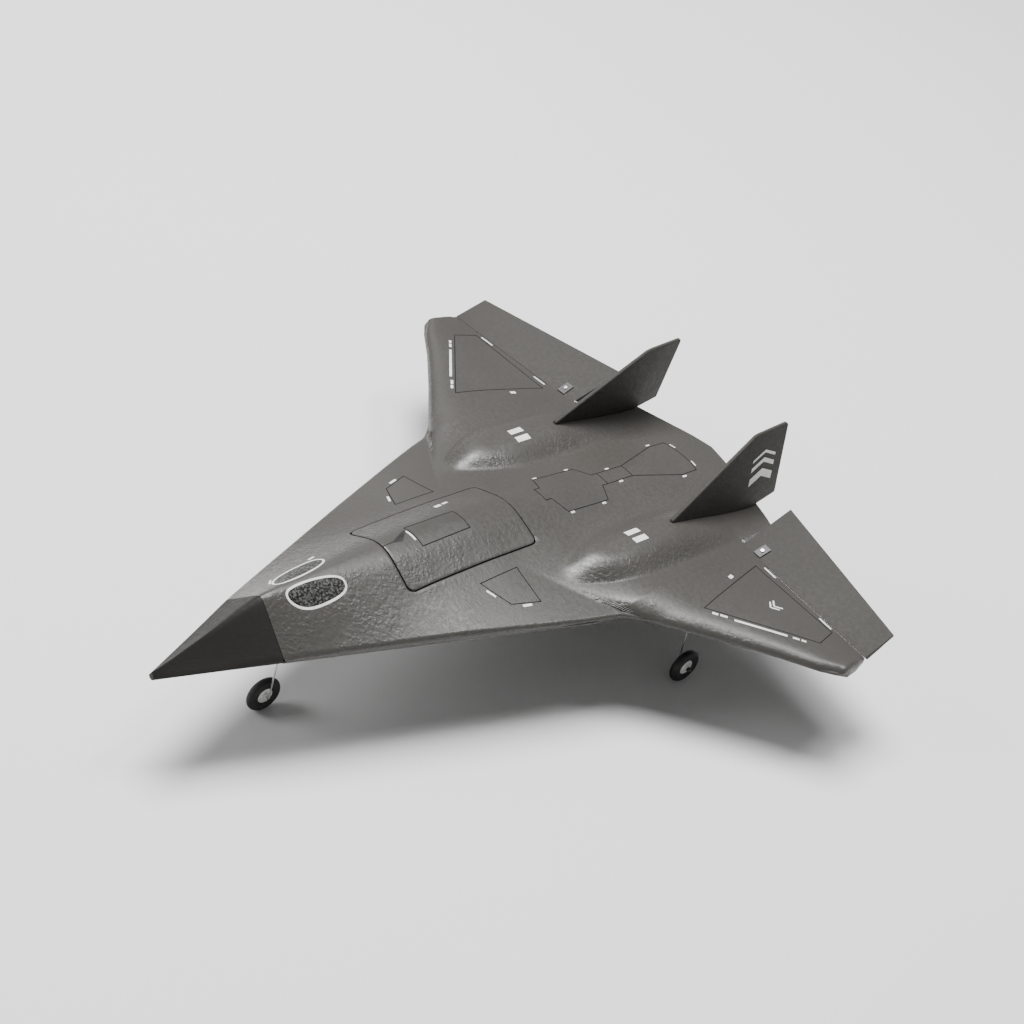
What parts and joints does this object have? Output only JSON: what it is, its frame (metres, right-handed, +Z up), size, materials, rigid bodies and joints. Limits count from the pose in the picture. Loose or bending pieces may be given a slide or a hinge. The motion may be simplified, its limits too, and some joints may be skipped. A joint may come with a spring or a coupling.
{
  "type": "rc flying wing",
  "caption": "Tailless foam model aeroplane: blended body with pointed nose, long tapered wings with hinged elevons, twin canted fins, ducted fans and wire landing gear",
  "frame": {"origin": "on the ground under the wheels, below the centre of the model's length and span", "axes": "+Y runs aft along the fuselage, so the nose points to -Y; +X is the model's left; +Z is up"},
  "size_m": [0.672, 0.757, 0.2127],
  "materials": {
    "grey_foam": "fine moulded bead-foam skin, satin",
    "nose_foam": "dark brown-grey, satin",
    "black_plastic": "moulded, satin",
    "white_plastic": "moulded, glossy",
    "clear_plastic": "pale, translucent moulding",
    "rubber": "smooth black rubber foam",
    "steel": "bright drawn wire and nickel plate",
    "carbon": "carbon fibre tube, semi-gloss",
    "battery_wrap": "heat-shrink wrap",
    "strap": "woven hook-and-loop strap"
  },
  "bodies": {
    "airframe": {"upper_shell": "grey_foam", "lower_shell": "grey_foam", "nose_cone": "nose_foam", "shell_magnet": "steel", "fin_left": "grey_foam", "fin_right": "grey_foam", "spar_tube_left": "carbon", "spar_tube_right": "carbon", "servo_left": "black_plastic", "servo_right": "black_plastic", "hinge_clip_left": "clear_plastic", "hinge_clip_right": "clear_plastic", "fan_housing_left": "black_plastic", "fan_housing_right": "black_plastic", "fan_motor_left": "steel", "fan_motor_right": "steel", "exhaust_tube_left": "black_plastic", "exhaust_tube_right": "black_plastic", "nose_gear_mount": "black_plastic", "main_gear_mount_left": "black_plastic", "main_gear_mount_right": "black_plastic", "nose_strut": "steel", "main_strut_left": "steel", "main_strut_right": "steel", "nose_axle_collar": "black_plastic", "left_axle_collar": "black_plastic", "right_axle_collar": "black_plastic", "battery": "battery_wrap", "battery_strap": "strap", "receiver": "black_plastic", "speed_controller_left": "black_plastic", "speed_controller_right": "black_plastic"},
    "hatch_lid": {"hatch": "grey_foam", "hatch_tongue": "black_plastic", "hatch_magnet": "steel"},
    "elevon_body_left": {"elevon_left": "grey_foam", "control_horn_left": "black_plastic", "horn_backplate_left": "black_plastic", "horn_screw_left": "steel"},
    "servo_arm_body_left": {"servo_arm_left": "white_plastic"},
    "pushrod_body_left": {"pushrod_left": "steel"},
    "fan_rotor_body_left": {"fan_rotor_left": "white_plastic"},
    "elevon_body_right": {"elevon_right": "grey_foam", "control_horn_right": "black_plastic", "horn_backplate_right": "black_plastic", "horn_screw_right": "steel"},
    "servo_arm_body_right": {"servo_arm_right": "white_plastic"},
    "pushrod_body_right": {"pushrod_right": "steel"},
    "fan_rotor_body_right": {"fan_rotor_right": "white_plastic"},
    "nose_wheel": {"nose_tyre": "rubber", "nose_hub": "white_plastic"},
    "left_wheel": {"left_tyre": "rubber", "left_hub": "white_plastic"},
    "right_wheel": {"right_tyre": "rubber", "right_hub": "white_plastic"}
  },
  "joints": [
    {"name": "hatch_lift", "type": "slide", "parent": "airframe", "child": "hatch_lid", "axis": [0, 0, 1], "range_m": [0, 0.06]},
    {"name": "elevon_hinge_left", "type": "hinge", "parent": "airframe", "child": "elevon_body_left", "pos_m": [0.138, 0.2847, 0.112], "axis": [0.9975, -0.0707, 0], "range_deg": [-42, 8]},
    {"name": "servo_arm_pivot_left", "type": "hinge", "parent": "airframe", "child": "servo_arm_body_left", "pos_m": [0.15407, 0.22141, 0.108], "axis": [0.9975, -0.0707, 0], "range_deg": [-42, 8]},
    {"name": "pushrod_pin_left", "type": "hinge", "parent": "servo_arm_body_left", "child": "pushrod_body_left", "pos_m": [0.15437, 0.22561, 0.09465], "axis": [0.9975, -0.0707, 0], "range_deg": [-8, 42]},
    {"name": "fan_spin_left", "type": "hinge", "parent": "airframe", "child": "fan_rotor_body_left", "pos_m": [0.096, 0.1545, 0.114], "axis": [0, 0.9936, -0.1132], "continuous": true},
    {"name": "elevon_hinge_right", "type": "hinge", "parent": "airframe", "child": "elevon_body_right", "pos_m": [-0.138, 0.2847, 0.112], "axis": [0.9975, 0.0707, 0], "range_deg": [-42, 8]},
    {"name": "servo_arm_pivot_right", "type": "hinge", "parent": "airframe", "child": "servo_arm_body_right", "pos_m": [-0.15407, 0.22141, 0.108], "axis": [0.9975, 0.0707, 0], "range_deg": [-42, 8]},
    {"name": "pushrod_pin_right", "type": "hinge", "parent": "servo_arm_body_right", "child": "pushrod_body_right", "pos_m": [-0.15437, 0.22561, 0.09465], "axis": [0.9975, 0.0707, 0], "range_deg": [-8, 42]},
    {"name": "fan_spin_right", "type": "hinge", "parent": "airframe", "child": "fan_rotor_body_right", "pos_m": [-0.096, 0.1545, 0.114], "axis": [0, 0.9936, -0.1132], "continuous": true},
    {"name": "nose_axle", "type": "hinge", "parent": "airframe", "child": "nose_wheel", "pos_m": [0, -0.2356, 0.0195], "axis": [1, 0, 0], "continuous": true},
    {"name": "left_axle", "type": "hinge", "parent": "airframe", "child": "left_wheel", "pos_m": [0.184, 0.1825, 0.0195], "axis": [1, 0, 0], "continuous": true},
    {"name": "right_axle", "type": "hinge", "parent": "airframe", "child": "right_wheel", "pos_m": [-0.184, 0.1825, 0.0195], "axis": [1, 0, 0], "continuous": true}
  ],
  "couplings": [
    {"joint": "servo_arm_pivot_left", "follows": "elevon_hinge_left", "ratio": 1},
    {"joint": "pushrod_pin_left", "follows": "elevon_hinge_left", "ratio": -1},
    {"joint": "servo_arm_pivot_right", "follows": "elevon_hinge_right", "ratio": 1},
    {"joint": "pushrod_pin_right", "follows": "elevon_hinge_right", "ratio": -1}
  ]
}
